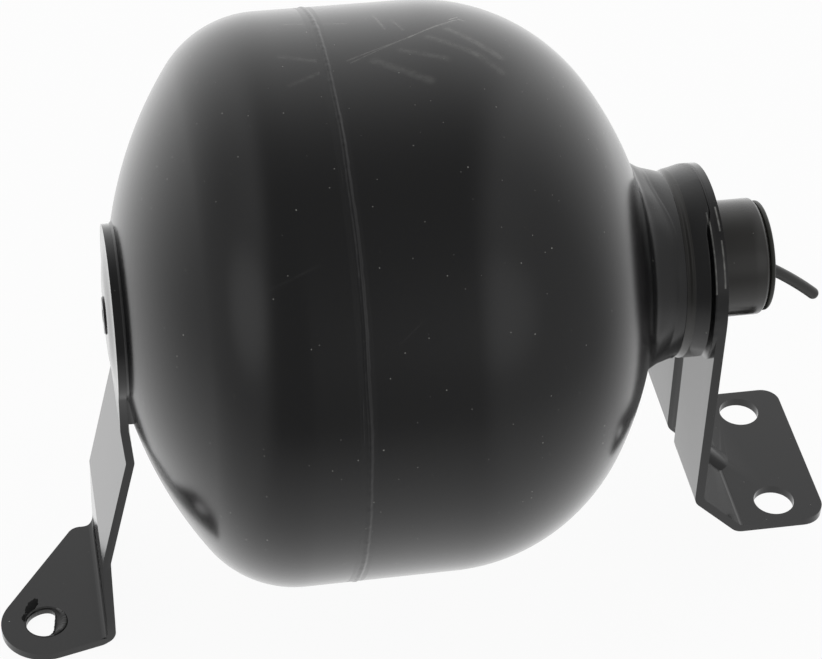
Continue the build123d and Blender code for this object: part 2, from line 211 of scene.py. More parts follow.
# %% Half shells
SHELL_RADIUS, WALL = 60.0, 3.5
GAS_SKIRT, GAS_KNUCKLE, GAS_CROWN, POLE_FLAT = 10.5, 23.0, 86.0, 18.0
FLUID_SKIRT, FLUID_KNUCKLE, FLUID_CROWN = 21.0, 42.0, 74.0
BEAD_LEFT, BEAD_RIGHT, BEAD_DEPTH = 2.3, 1.0, 2.4
NECK_BORE = 19.85
CHARGE_BORE, POCKET_RADIUS, POCKET_DEPTH = 2.6, 3.8, 1.2
SHELL_WAVE = 0.03


def crown_centre(skirt, knuckle, crown, radius):
    """Axial place of the crown's centre, from the right triangle between both arc centres."""
    return skirt - math.sqrt((crown - knuckle) ** 2 - (radius - knuckle) ** 2)


def crown_x(skirt, knuckle, crown, radius, at_radius):
    """Axial place of the crown's surface at a distance from the axis."""
    return crown_centre(skirt, knuckle, crown, radius) + np.sqrt(crown**2 - at_radius**2)


def dome(side, skirt, knuckle, crown, radius, end_radius, count=44):
    """Knuckle and crown arcs of one dome, from the skirt to the given distance from the axis."""
    centre = crown_centre(skirt, knuckle, crown, radius)
    join = math.degrees(math.atan2(radius - knuckle, skirt - centre))
    end = math.degrees(math.asin(end_radius / crown))
    bend = arc_points((skirt, radius - knuckle), knuckle, 90, join, count)
    cap = arc_points((centre, 0), crown, join, end, count)
    return np.vstack([bend, cap[1:]]) * (side, 1)


def thinner(skirt, knuckle, crown, radius):
    """The same dome for the inside of the wall."""
    return skirt, knuckle - WALL, crown - WALL, radius - WALL


GAS = (GAS_SKIRT, GAS_KNUCKLE, GAS_CROWN, SHELL_RADIUS)
FLUID = (FLUID_SKIRT, FLUID_KNUCKLE, FLUID_CROWN, SHELL_RADIUS)
POLE_X = -crown_x(*GAS, POLE_FLAT)
ROUND = full_circle(400)


def shell_piece(name, outside, rest, seed):
    """Closed section of outside and rest, turned round, with slow waves on the outside."""
    grid = turned(np.vstack([outside, rest]), ROUND)
    rows = len(outside)
    along = np.linspace(0, 1, rows)[:, None]
    fade = np.sin(math.pi * along) ** 0.5
    wave = uneven(ROUND[None, :], along, (2, 3, 5, 7, 4), (3, 5, 2, 6, 9), seed)
    outward = np.stack([0 * ROUND, np.cos(ROUND), np.sin(ROUND)], axis=-1)
    grid[:rows] += (SHELL_WAVE * fade * wave)[..., None] * outward
    return piece_from_grids(name, [(grid, True, True)])


pole_inner_x = POLE_X + WALL
gas_inner_centre = crown_centre(*thinner(*GAS))
pole_inner_radius = math.sqrt((GAS_CROWN - WALL) ** 2 - (pole_inner_x + gas_inner_centre) ** 2)
gas_outside = np.vstack(
    [
        between((-BEAD_LEFT, SHELL_RADIUS), (-GAS_SKIRT, SHELL_RADIUS), 8)[:-1],
        dome(-1, *GAS, POLE_FLAT),
    ]
)
gas_rest = np.vstack(
    [
        between((POLE_X, POLE_FLAT - 0.5), (POLE_X, POCKET_RADIUS), 8),
        [(POLE_X + POCKET_DEPTH, POCKET_RADIUS), (POLE_X + POCKET_DEPTH, CHARGE_BORE)],
        [(pole_inner_x, CHARGE_BORE)],
        dome(-1, *thinner(*GAS), pole_inner_radius, 20)[::-1],
        [(0, SHELL_RADIUS - WALL), (0, SHELL_RADIUS - BEAD_DEPTH)],
    ]
)
gas_half = dressed(
    shell_piece("gas_half_shell", gas_outside, gas_rest, 11), "vessel", "painted_steel", "gas_shell"
)

fluid_outside = np.vstack(
    [
        between((BEAD_RIGHT, SHELL_RADIUS), (FLUID_SKIRT, SHELL_RADIUS), 10)[:-1],
        dome(1, *FLUID, NECK_BORE),
    ]
)
fluid_rest = np.vstack(
    [
        dome(1, *thinner(*FLUID), NECK_BORE, 20)[::-1],
        [(0, SHELL_RADIUS - WALL), (0, SHELL_RADIUS - BEAD_DEPTH)],
    ]
)
fluid_half = dressed(
    shell_piece("fluid_half_shell", fluid_outside, fluid_rest, 12),
    "vessel",
    "painted_steel",
    "fluid_shell",
)

# %% [markdown]
# ## Girth weld
# The halves meet in a fine weld that is left as it is, and only the paint evens it out. What
# stays is one narrow soft ridge and, beside it on the gas side, a second one that comes and goes
# in dashes. A torus would be far too round for this. A raised cosine gives a ridge whose feet run
# out flat into the shells, so no dark crease shows along it.

# %% Girth weld
RIDGE_X, RIDGE_WANDER, RIDGE_HEIGHT, RIDGE_HALF = -0.45, 0.11, 0.18, 0.7
DASH_X, DASH_HEIGHT, DASH_HALF = -1.75, 0.07, 0.2


def raised_cosine(offset, half_width):
    """One at offset zero, falling along half a cosine wave to zero at the half width."""
    return 0.5 + 0.5 * np.cos(math.pi * np.clip(offset / half_width, -1, 1))


def girth_bead():
    """Strip of two raised cosines over a V root; places and heights wander with the angle."""
    turns = full_circle(1440)[None, :]
    across = np.linspace(-BEAD_LEFT, BEAD_RIGHT, 40)[:, None]
    middle = RIDGE_X + RIDGE_WANDER * uneven_round(turns, (3, 7, 12, 19), 21)
    half = RIDGE_HALF * (1 + 0.12 * uneven_round(turns, (31, 53, 77, 113), 22))
    ripple = 0.12 * uneven_round(turns, (97, 171, 240, 331), 23)
    height = RIDGE_HEIGHT * (1 + ripple + 0.15 * uneven_round(turns, (5, 9, 14), 24))
    dashes = np.clip(uneven_round(turns, (9, 23, 41, 67), 25) - 0.3, 0, 1)
    lift = height * raised_cosine(across - middle, half)
    lift = lift + DASH_HEIGHT * dashes * raised_cosine(across - DASH_X, DASH_HALF)
    x = np.vstack([across + 0 * turns, 0 * turns])
    r = np.vstack([SHELL_RADIUS + lift, 0 * turns + SHELL_RADIUS - BEAD_DEPTH])
    return carried_round(x, r, turns)


girth = dressed(
    piece_from_grids("girth_bead", [(girth_bead(), True, True)], 80),
    "vessel",
    "painted_weld",
    "girth_weld",
)

# %% [markdown]
# ## Port fitting
# One turned part: the neck in the dome's hole, a collar, and the boss that holds the port thread.
# A lathe shape is a profile carried round a circle. The thread is cut with the same grid: inside
# the bore the radius also depends on the angle, so the groove climbs one pitch for each turn.

# %% Port fitting
fitting_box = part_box("port_fitting")
FITTING_START, BOSS_END = fitting_box[0].x / MM, fitting_box[1].x / MM
BOSS_RADIUS, BOSS_LENGTH, BOSS_EDGE = 12.5, 14.3, 0.8
SHOULDER_X = BOSS_END - BOSS_LENGTH
COLLAR_RADIUS, COLLAR_LENGTH, COLLAR_EDGE = 20.3, 5.3, 1.6
COLLAR_X = SHOULDER_X - COLLAR_LENGTH
NECK_RADIUS, GROOVE_RADIUS = 19.6, 19.72
BORE_RADIUS, BORE_DEPTH, PASSAGE_RADIUS = 7.2, 14.0, 3.0
THREAD_START, THREAD_END, THREAD_PITCH, THREAD_CUT = 0.6, 12.5, 1.5, 0.8


def port_fitting_grid():
    """Turned profile; in the bore the radius rises in a V that climbs one pitch a turn."""
    thread_x = np.linspace(BOSS_END - THREAD_START, BOSS_END - THREAD_END, 96)[:, None]
    rise = np.linspace(0, 1, 14)
    groove_r = GROOVE_RADIUS + (COLLAR_RADIUS - GROOVE_RADIUS) * smooth_step(rise, 0, 1)
    collar_corner = (SHOULDER_X - COLLAR_EDGE, COLLAR_RADIUS - COLLAR_EDGE)
    bevel_x, bevel_r = BOSS_END - BOSS_EDGE, BOSS_RADIUS - BOSS_EDGE
    profile = np.vstack(
        [
            [(FITTING_START, PASSAGE_RADIUS), (FITTING_START, NECK_RADIUS)],
            between((FITTING_START + 3, NECK_RADIUS), (COLLAR_X - 1.2, NECK_RADIUS), 4),
            [(COLLAR_X - 0.9, GROOVE_RADIUS)],
            np.stack([COLLAR_X - 0.5 + 1.5 * rise, groove_r], axis=-1),
            arc_points(collar_corner, COLLAR_EDGE, 90, 0, 12),
            [(SHOULDER_X, BOSS_RADIUS + 0.4), (SHOULDER_X + 0.4, BOSS_RADIUS)],
            between((SHOULDER_X + 1, BOSS_RADIUS), (bevel_x - 0.2, BOSS_RADIUS), 6),
            [(bevel_x + 0.05, BOSS_RADIUS - 0.1), (BOSS_END - 0.1, bevel_r)],
            [(BOSS_END, bevel_r - 0.15), (BOSS_END, BORE_RADIUS + 0.7)],
            np.hstack([thread_x, 0 * thread_x + BORE_RADIUS]),
            [(BOSS_END - BORE_DEPTH, BORE_RADIUS), (BOSS_END - BORE_DEPTH, PASSAGE_RADIUS)],
        ]
    )
    turns = full_circle(256)
    grid = turned(profile, turns)
    climb = thread_x / THREAD_PITCH - turns / (2 * math.pi)
    groove = THREAD_CUT * np.clip(1.15 - 2.6 * np.abs(climb - np.floor(climb) - 0.5), 0, 1)
    run_out = np.clip((thread_x - (BOSS_END - THREAD_END)) / THREAD_PITCH, 0, 1)
    threaded = slice(-2 - len(thread_x), -2)
    grid[threaded] = carried_round(thread_x, BORE_RADIUS + groove * run_out, turns)
    return grid


fitting = dressed(
    piece_from_grids("turned_port_fitting", [(port_fitting_grid(), True, True)]),
    "vessel",
    "painted_steel",
    "port_fitting",
)

# %% [markdown]
# ## Neck weld
# The fitting is welded into the dome. The weld metal runs up from the dome as a steep toe, and
# past a slanting ridge it goes on as a flatter cone that ends in the shallow groove at the
# collar. Sculpting would give this too, but two straight lines with a rounded toe, worked out at
# each angle, can be changed by one number. Where they meet moves with the angle, which draws the
# ridge. A small drop of weld metal hangs at the underside, with a hollow beside it.

# %% Neck weld
NECK_WELD_FOOT, NECK_WELD_END = 23.3, 19.85
NEAR_X, FAR_X, CONE_SLOPE = 68.1, 70.9, 0.3
CREST_HEIGHT, CREST_HALF, LUMP_HEIGHT = 0.09, 0.55, 0.035
CONE_END_X = COLLAR_X - 0.65
FRONT = math.pi
DROP_TURN, DROP_HEIGHT, HOLLOW_DEPTH = FRONT + 0.72, 0.28, 0.28


def neck_cone():
    """Dome to toe by a quadratic curve, toe to ridge and ridge to groove by straight lines."""
    turns = full_circle(720)[None, :]
    foot = NECK_WELD_FOOT + 0.16 * uneven_round(turns, (3, 7, 13, 22), 31)
    foot_x = crown_x(*FLUID, foot)
    drift = smooth_step(turns, 1.5, 2.2) - smooth_step(turns, 2.7, 4.2)
    ridge_x = NEAR_X + (FAR_X - NEAR_X) * drift
    ridge_r = NECK_WELD_END + CONE_SLOPE * (CONE_END_X - ridge_x)
    blend_r = foot + 1.5
    blend_x = crown_x(*FLUID, blend_r) - 0.02
    join_x, join_r = foot_x + 0.3 * (ridge_x - foot_x), foot + 0.3 * (ridge_r - foot)
    t = np.linspace(0, 1, 14)[:, None]
    steep = np.linspace(0, 1, 12)[1:, None]
    flat = np.linspace(0, 1, 24)[1:, None]
    x = np.vstack(
        [
            (1 - t) ** 2 * blend_x + 2 * t * (1 - t) * foot_x + t**2 * join_x,
            join_x + (ridge_x - join_x) * steep,
            ridge_x + (CONE_END_X - ridge_x) * flat,
        ]
    )
    r = np.vstack(
        [
            (1 - t) ** 2 * blend_r + 2 * t * (1 - t) * foot + t**2 * join_r,
            join_r + (ridge_r - join_r) * steep,
            ridge_r + (NECK_WELD_END - ridge_r) * flat,
        ]
    )
    along = np.clip((x - foot_x) / (CONE_END_X - foot_x), 0, 1)
    crest = smooth_step(turns, 0.5, 1.2) - smooth_step(turns, 2.0, 2.6)
    r = r + CREST_HEIGHT * crest * raised_cosine(x - ridge_x, CREST_HALF)
    lumps = uneven(turns, along * math.pi, (5, 11, 17, 8), (1, 2, 1, 3), 32)
    r = r + LUMP_HEIGHT * lumps * np.sin(math.pi * along)
    low = (turns - DROP_TURN) * NECK_WELD_END
    r = r + DROP_HEIGHT * bell(low, 0.8) * bell(x - CONE_END_X + 0.7, 0.6)
    r = r - HOLLOW_DEPTH * bell(low + 1.6, 1.3) * bell(x - CONE_END_X + 1.6, 1.1)
    r[-1] = NECK_WELD_END - 0.05
    back = np.linspace(0, 1, 4)[:, None]
    under_r = NECK_BORE - 0.1 + (blend_r - NECK_BORE) * back
    under_x = crown_x(*FLUID, under_r) - 0.4
    x = np.vstack([x, CONE_END_X + 0 * turns, under_x])
    r = np.vstack([r, NECK_RADIUS - 0.1 + 0 * turns, under_r])
    return carried_round(x, r, turns)


cone = dressed(
    piece_from_grids("neck_cone_weld", [(neck_cone(), True, True)], 60),
    "vessel",
    "painted_weld",
    "neck_weld",
)

# %% [markdown]
# ## Bracket welds
# Weld metal fills the corner between the collar's rounded edge and the bracket's plate. Over the
# top it is a smooth cone that laps the plate's rim, in front it ends in a step to a narrow land
# beside the rim, and underneath it thins out. A slim hollow fillet runs round the end bracket's
# pad on the dome.
# Both are a section carried along a path, and its size changes along the way, as hand-fed wire
# leaves it.

# %% Bracket welds
PAD_RADIUS, END_SHEET, STRAP_HALF = 18.9, 1.8, 16.5
PAD_WELD_LEG, PAD_WELD_HOLLOW, PAD_WELD_LOW = 0.6, 0.08, -16.0
PAD_X = POLE_X - END_SHEET
PLATE_RADIUS, PLATE_MIDDLE = 21.75, -1.2
COLLAR_WELD_REACH, COLLAR_WELD_SLOPE = COLLAR_RADIUS + 2.75, 0.3


def plate_reach(turns):
    """Distance from the axis to the plate's outline: its round top, then its straight sides."""
    side, up = np.cos(turns), np.sin(turns)
    top = PLATE_MIDDLE * side + np.sqrt(PLATE_RADIUS**2 - (PLATE_MIDDLE * up) ** 2)
    wide = np.where(side > 0, PLATE_RADIUS + PLATE_MIDDLE, PLATE_RADIUS - PLATE_MIDDLE)
    return np.where(up > 0, top, np.minimum(wide / np.maximum(np.abs(side), 0.1), 40))


def mixed(low, high, share):
    """The low value for a share of zero, the high one for a share of one."""
    return low + (high - low) * share


def collar_fillet():
    """Gentle cone from the collar, a step to the plate's reach as an S curve, then a land."""
    turns = full_circle(540)[None, :]
    up = np.sin(turns)
    over, front = smooth_step(up, -0.75, -0.35), smooth_step(-up, -0.98, -0.8)
    ripple = 0.03 * uneven_round(turns, (5, 17, 41, 73), 41)
    reach = np.minimum(plate_reach(turns), COLLAR_WELD_REACH) + 0.04 + ripple * front
    start_x = SHOULDER_X + mixed(-1.7, 1.1 - COLLAR_LENGTH, over)
    knee_x = SHOULDER_X + mixed(-0.35, mixed(0.3, -1.25, front), over)
    land_x = SHOULDER_X + mixed(-0.1, mixed(0.4, -0.75, front), over)
    end_x = SHOULDER_X + mixed(-0.02, mixed(0.68, 0.2, front), over)
    start_r = COLLAR_RADIUS + 0.02 + 0 * turns
    cone_r = np.minimum(start_r + COLLAR_WELD_SLOPE * (knee_x - start_x), reach - 0.04)
    knee_r = mixed(COLLAR_RADIUS - 0.02, cone_r, over)
    land_r = mixed(COLLAR_RADIUS - 0.3, reach, over)
    cone = np.linspace(0, 1, 12)[:, None]
    step = np.linspace(0, 1, 10)[1:, None]
    land = np.linspace(0, 1, 4)[1:, None]
    x = [mixed(start_x, knee_x, cone), mixed(knee_x, land_x, step), mixed(land_x, end_x, land)]
    r = [
        mixed(start_r, knee_r, cone**1.15),
        mixed(knee_r, land_r, smooth_step(step, 0, 1)),
        land_r + 0 * land,
    ]
    hidden_x = [SHOULDER_X - 0.02 + 0 * turns, start_x - 0.1]
    hidden_r = [COLLAR_RADIUS - COLLAR_EDGE - 0.3 + 0 * turns, start_r - 0.6]
    return carried_round(np.vstack(x + hidden_x), np.vstack(r + hidden_r), turns)


def pad_weld_path(count):
    """Places round the pad from one side of the strap over the top to the other, with normals."""
    strap_top = -math.sqrt(PAD_RADIUS**2 - STRAP_HALF**2)
    side_z = np.linspace(PAD_WELD_LOW, strap_top, count // 10)
    lift = math.atan2(strap_top, STRAP_HALF)
    turn = np.linspace(lift, math.pi - lift, count)[1:-1]
    across, up, still = np.cos(turn), np.sin(turn), 0 * side_z
    y = np.concatenate([still + STRAP_HALF, PAD_RADIUS * across, still - STRAP_HALF])
    z = np.concatenate([side_z, PAD_RADIUS * up, side_z[::-1]])
    normal_y = np.concatenate([still + 1, across, still - 1])
    normal_z = np.concatenate([still, up, still])
    return y, z, normal_y, normal_z


def pad_fillet():
    """Slightly hollow section from the pad's edge to the dome, vanishing at both ends."""
    y, z, normal_y, normal_z = pad_weld_path(420)
    way = np.linspace(0, 1, len(y))[None, :]
    fade = np.clip(np.minimum(way, 1 - way) * 30, 0.05, 1)
    leg = (PAD_WELD_LEG + 0.12 * uneven_round(way * 2 * math.pi, (4, 11, 29, 47), 51)) * fade
    across = np.linspace(0, 1, 9)[:, None]
    out = leg * across
    distance = np.hypot(y + normal_y * out, z + normal_z * out)
    dome_x = -crown_x(*GAS, np.maximum(distance, POLE_FLAT))
    start_x = PAD_X + END_SHEET * (1 - 0.1 * fade)
    hollow = PAD_WELD_HOLLOW * fade * np.sin(math.pi * across)
    x = start_x + (dome_x - start_x) * across + hollow
    hidden_out = np.vstack([leg, 0 * leg - 0.4, 0 * leg - 0.4])
    hidden_x = np.vstack([dome_x[-1:] + 0.5, POLE_X + 0.8 + 0 * leg, start_x])
    out, x = np.vstack([out, hidden_out]), np.vstack([x, hidden_x])
    return np.stack([x, y + normal_y * out, z + normal_z * out], axis=-1)


def with_ends(grid):
    """Adds the middle of each end section as a point that every row meets, so the ends close."""
    first = np.broadcast_to(grid[:, :1].mean(axis=0, keepdims=True), grid[:, :1].shape)
    last = np.broadcast_to(grid[:, -1:].mean(axis=0, keepdims=True), grid[:, -1:].shape)
    return np.concatenate([first, grid, last], axis=1)


collar_weld = dressed(
    piece_from_grids("collar_plate_weld", [(collar_fillet(), True, True)], 60),
    "vessel",
    "painted_weld",
    "port_bracket_weld",
)
pad_weld = dressed(
    piece_from_grids("pad_rim_weld", [(with_ends(pad_fillet()), True, False)], 60),
    "vessel",
    "painted_weld",
    "end_bracket_weld",
)

# %% [markdown]
# ## Folded brackets
# The CAD solids already have the folds, the rib and the holes, but their edges are knife sharp,
# and paint makes every sheared edge catch a line of light. A copy of each solid is merged, its
# flat triangles are joined into whole faces, and a bevel rounds what is left. The port foot's
# front corner is sharp in the solid and round on the real part, so its one edge is rounded first.

# %% Folded brackets
EDGE_RADIUS, EDGE_DEGREES, FLAT_DEGREES, WELD_GAP = 0.3, 32, 0.4, 2e-6
CORNER_RADIUS, CORNER_STEPS, CORNER_GAP = 5.2, 12, 0.1


def softened_copy(node, name, reshape=None):
    """Merged copy of a CAD node with flat faces joined and sheared edges rounded."""
    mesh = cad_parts[node].data.copy()
    mesh.name = name
    mesh.materials.clear()
    shape = bmesh.new()
    shape.from_mesh(mesh)
    bmesh.ops.remove_doubles(shape, verts=shape.verts, dist=WELD_GAP)
    bmesh.ops.dissolve_limit(
        shape, angle_limit=math.radians(FLAT_DEGREES), verts=shape.verts, edges=shape.edges
    )
    if reshape:
        reshape(shape)
    shape.to_mesh(mesh)
    shape.free()
    mesh.shade_smooth()
    mesh.set_sharp_from_angle(angle=math.radians(EDGE_DEGREES))
    piece = bpy.data.objects.new(name, mesh)
    bpy.context.scene.collection.objects.link(piece)
    rounding = piece.modifiers.new("sheared_edge", "BEVEL")
    rounding.width = EDGE_RADIUS * MM
    rounding.segments = 3
    rounding.limit_method = "ANGLE"
    rounding.angle_limit = math.radians(EDGE_DEGREES)
    rounding.harden_normals = True
    print(f"{name}: {len(mesh.polygons)} faces before rounding")
    return piece


def round_front_corner(shape):
    """Bevels the foot's upright edge where its far end meets its front side."""
    corner = Vector((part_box("port_bracket")[1].x, -PLATE_RADIUS * MM))
    edges = [
        edge
        for edge in shape.edges
        if all((place.co.xy - corner).length < CORNER_GAP * MM for place in edge.verts)
    ]
    bmesh.ops.bevel(
        shape,
        geom=edges,
        offset=CORNER_RADIUS * MM,
        offset_type="OFFSET",
        segments=CORNER_STEPS,
        profile=0.5,
        affect="EDGES",
    )
    print("corner edges rounded:", len(edges))


port_sheet = dressed(
    softened_copy("port_bracket", "folded_port_bracket", round_front_corner),
    "vessel",
    "painted_sheet",
    "port_bracket",
)
end_sheet = dressed(
    softened_copy("end_bracket", "folded_end_bracket"), "vessel", "painted_sheet", "end_bracket"
)

# %% [markdown]
# ## Pad dish
# The end bracket's pad was pressed slightly outwards round the charge plug, so almost only the
# plug's face stands above it. The dish is a very flat lathe shape: an S curve from the pad's
# plane near its rim to the plug's head.

# %% Pad dish
DISH_START, DISH_FLAT, DISH_END, DISH_HEIGHT = 17.2, 7.05, 4.05, 0.9


def pad_dish():
    """Closed section: S curve outside, flat inside, turned round the charge plug's axis."""
    radius = np.linspace(DISH_START, DISH_END, 40)
    rise = DISH_HEIGHT * smooth_step(-radius, -DISH_START, -DISH_FLAT)
    outside = np.stack([PAD_X + 0.03 - rise, radius], axis=-1)
    inside = [(PAD_X + 0.2, DISH_END), (PAD_X + 0.2, DISH_START)]
    return turned(np.vstack([outside, inside]), full_circle(180))


dish = dressed(
    piece_from_grids("pressed_pad_dish", [(pad_dish(), True, True)]), "vessel", "painted_sheet"
)

# %% [markdown]
# ## Torn rubber in the fixing hole
# A rubber grommet once sat in the end bracket's hole. It was torn out, and a ragged crescent of
# it is still stuck to one side, with two dried smears of rubber on the sheet next to it. The
# crescent is a closed section carried round the hole, thick on one side and a thin skin
# elsewhere. The smears are flat domes with a wavy outline.

# %% Torn rubber remnant
HOLE_X, HOLE_Y, HOLE_RADIUS = -63.805, -12.6, 4.5
FOOT_UNDER = cad_low.z / MM
FOOT_TOP = FOOT_UNDER + END_SHEET
THICKEST, TORN_TURN, TORN_WIDTH, SKIN = 2.45, -0.15, 1.1, 0.14
SMEARS = (
    ((-66.6, -7.4), 1.05, 2.7, 1.15, 0.14, 62),
    ((-68.3, -10.6), 1.3, 1.3, 0.7, 0.08, 63),
)


def torn_crescent():
    """Section with a lip and a hollow inner face, its thickness a flat bell of the angle."""
    turns = full_circle(300)[None, :]
    from_right = (turns + math.pi) % (2 * math.pi) - math.pi
    thick = THICKEST * np.exp(-((np.abs(from_right - TORN_TURN) / TORN_WIDTH) ** 3.2))
    thick = thick + SKIN + 0.38 * bell(from_right - 2.0, 0.7)
    rag = uneven_round(turns, (9, 17, 29, 43), 61) * thick / THICKEST
    thick = thick + 0.09 * rag
    lip = 0.1 + 0.25 * thick / (thick + 0.8)
    outer, inner = HOLE_RADIUS - 0.02 + 0 * turns, HOLE_RADIUS - 0.02 - thick
    low, top = FOOT_UNDER + 0.1 + 0 * turns, FOOT_TOP + 0 * turns
    rows = [
        (outer, low),
        (outer, top - 0.1),
        (HOLE_RADIUS + lip, top + 0.02),
        (HOLE_RADIUS + 0.6 * lip, top + 0.12 + 0.015 * rag),
        (HOLE_RADIUS - 0.3 * thick, top + 0.08 + 0.015 * rag),
        (HOLE_RADIUS - 0.45 * thick, top - 0.35),
        (inner + 0.25 * thick, top - 0.5),
        (inner + 0.05 * thick, top - 0.3 + 0.03 * rag),
        (inner, top - 0.6),
        (inner + 0.1 * thick, low + 0.5),
        (inner + 0.3 * thick, low),
    ]
    r, z = (np.vstack(column) for column in zip(*rows))
    return np.stack([HOLE_X + r * np.cos(turns), HOLE_Y + r * np.sin(turns), z], axis=-1)


def rubber_smear(middle, lean, long_half, wide_half, height, seed):
    """Flat dome with a wavy outline: the radius of an ellipse times one plus a sum of sines."""
    turns = full_circle(90)[None, :]
    edge = 1 + 0.12 * uneven_round(turns, (3, 5, 8, 13), seed)
    out = np.linspace(0, 1, 9)[:, None]
    a, b = out * edge * long_half * np.cos(turns), out * edge * wide_half * np.sin(turns)
    x = middle[0] + a * math.cos(lean) - b * math.sin(lean)
    y = middle[1] + a * math.sin(lean) + b * math.cos(lean)
    z = FOOT_TOP - 0.03 + height * np.sqrt(1 - out**2) + 0 * turns
    top = np.stack([x, y, z], axis=-1)
    under = np.broadcast_to([*middle, FOOT_TOP - 0.08], top[:1].shape)
    return np.concatenate([top, under], axis=0)


remnant = dressed(
    piece_from_grids("torn_rubber_remnant", [(torn_crescent(), True, True)], 50),
    "vessel",
    "nitrile_rubber",
)
smears = dressed(
    piece_from_grids(
        "dried_rubber_smears", [(rubber_smear(*smear), False, True) for smear in SMEARS], 50
    ),
    "vessel",
    "nitrile_rubber",
)

# %% [markdown]
# ## Transport plug
# A soft plastic plug keeps dirt out of the port. Its rim and barbed skirt are turned shapes, and
# the pull tail is a round section carried along an arc that hangs away from the rim. Rim and tail
# come out of one mould, so they are one piece.

# %% Transport plug
RIM_X = BOSS_END + 0.1
RIM_RADIUS, RIM_THICKNESS, RIM_EDGE = 11.8, 1.1, 0.5
SKIRT_RADIUS, SKIRT_WALL, SKIRT_LENGTH = 6.95, 1.6, 9.0
BARB_HEIGHT, BARB_WIDTH, BARB_PITCH = 0.2, 0.8, 2.2
TAIL_RADIUS, TAIL_FLARE = 1.3, 0.5
TAIL_DROP, TAIL_REACH, TAIL_FALL, TAIL_DEGREES = 2.1, 13.1, 12.1, 30.0


def plug_body():
    """Closed profile of the rim with rounded edges and the hollow skirt with its barbs."""
    barbs = [
        point
        for index in range(3)
        for start in [RIM_X - SKIRT_LENGTH + BARB_PITCH * (index + 0.5)]
        for point in [
            (start, SKIRT_RADIUS),
            (start + BARB_WIDTH, SKIRT_RADIUS + BARB_HEIGHT),
            (start + BARB_WIDTH + 0.02, SKIRT_RADIUS),
        ]
    ]
    edge_radius = RIM_RADIUS - RIM_EDGE
    skirt_end, skirt_inner = RIM_X - SKIRT_LENGTH, SKIRT_RADIUS - SKIRT_WALL
    profile = np.vstack(
        [
            [(RIM_X, 0), (RIM_X, skirt_inner)],
            [(skirt_end, skirt_inner), (skirt_end, SKIRT_RADIUS)],
            barbs,
            [(RIM_X, SKIRT_RADIUS)],
            arc_points((RIM_X + RIM_EDGE, edge_radius), RIM_EDGE, 180, 90, 6),
            arc_points((RIM_X + RIM_THICKNESS - RIM_EDGE, edge_radius), RIM_EDGE, 90, 0, 6),
            [(RIM_X + RIM_THICKNESS, 6), (RIM_X + RIM_THICKNESS, 0)],
        ]
    )
    return turned(profile, full_circle(144))


def pull_tail():
    """Round section along a tangent arc in the XZ plane, with a flared root and round end."""
    start = np.array([RIM_X + RIM_THICKNESS - RIM_EDGE, -TAIL_DROP])
    end = np.array([RIM_X + RIM_THICKNESS + TAIL_REACH, -TAIL_FALL])
    slope = -math.radians(TAIL_DEGREES)
    chord = end - start
    half_turn = math.atan2(chord[1], chord[0]) - slope
    bend_radius = np.hypot(*chord) / (2 * math.sin(half_turn))
    turn = slope + np.linspace(0, 2 * half_turn, 48)
    x = start[0] + bend_radius * (np.sin(turn) - math.sin(slope))
    z = start[1] - bend_radius * (np.cos(turn) - math.cos(slope))
    cap = np.linspace(0, math.pi / 2, 9)[1:]
    x = np.concatenate([x, x[-1] + TAIL_RADIUS * np.sin(cap) * math.cos(turn[-1])])
    z = np.concatenate([z, z[-1] + TAIL_RADIUS * np.sin(cap) * math.sin(turn[-1])])
    lean = np.concatenate([turn, np.full(len(cap), turn[-1])])[:, None]
    flared = TAIL_RADIUS + TAIL_FLARE * np.exp(-np.arange(48) / 3.0)
    size = np.maximum(np.concatenate([flared, TAIL_RADIUS * np.cos(cap)]), 0)[:, None]
    around = full_circle(32)[None, :]
    across = size * np.cos(around)
    return np.stack(
        [
            x[:, None] - across * np.sin(lean),
            size * np.sin(around),
            z[:, None] + across * np.cos(lean),
        ],
        axis=-1,
    )


def closed_start(grid):
    """Repeats the middle of the first row as a pole, so the surface is closed there."""
    pole = np.broadcast_to(grid[:1].mean(axis=1, keepdims=True), grid[:1].shape)
    return np.concatenate([pole, grid], axis=0)


plug = dressed(
    piece_from_grids(
        "moulded_transport_plug",
        [(plug_body(), False, True), (closed_start(pull_tail()), False, True)],
        40,
    ),
    "plug",
    "soft_plastic",
    "transport_plug",
)

# %% [markdown]
# ## Building materials from nodes
# One small function adds a node with its settings and links, so a material reads as a list of
# what the surface does. Colours are written as the sRGB values that an eyedropper shows, and one
# function turns them to the linear light that the renderer works in.

# %% Material helpers


def linear(hex_colour):
    """sRGB hex to linear RGBA, by the standard curve with its straight foot."""
    parts = np.array([int(hex_colour[k : k + 2], 16) / 255 for k in (1, 3, 5)])
    light = np.where(parts <= 0.04045, parts / 12.92, ((parts + 0.055) / 1.055) ** 2.4)
    return (*light.tolist(), 1.0)


def add(tree, kind, inputs=None, **settings):
    """Adds a node: settings are its own properties, inputs are values or sockets to link."""
    node = tree.nodes.new("ShaderNode" + kind)
    for key, value in settings.items():
        setattr(node, key, value)
    for key, value in (inputs or {}).items():
        if isinstance(value, bpy.types.NodeSocket):
            tree.links.new(value, node.inputs[key])
        else:
            node.inputs[key].default_value = value
    return node


def new_material(name):
    """Empty node material with an output, and the object's own coordinates."""
    material = bpy.data.materials.new(name)
    material.use_nodes = True
    tree = material.node_tree
    tree.nodes.clear()
    place = add(tree, "TexCoord").outputs["Object"]
    return material, tree, place


def per_mm(size_mm):
    """Texture scale that makes one cell of a pattern this many millimetres wide."""
    return 1 / (size_mm * MM)
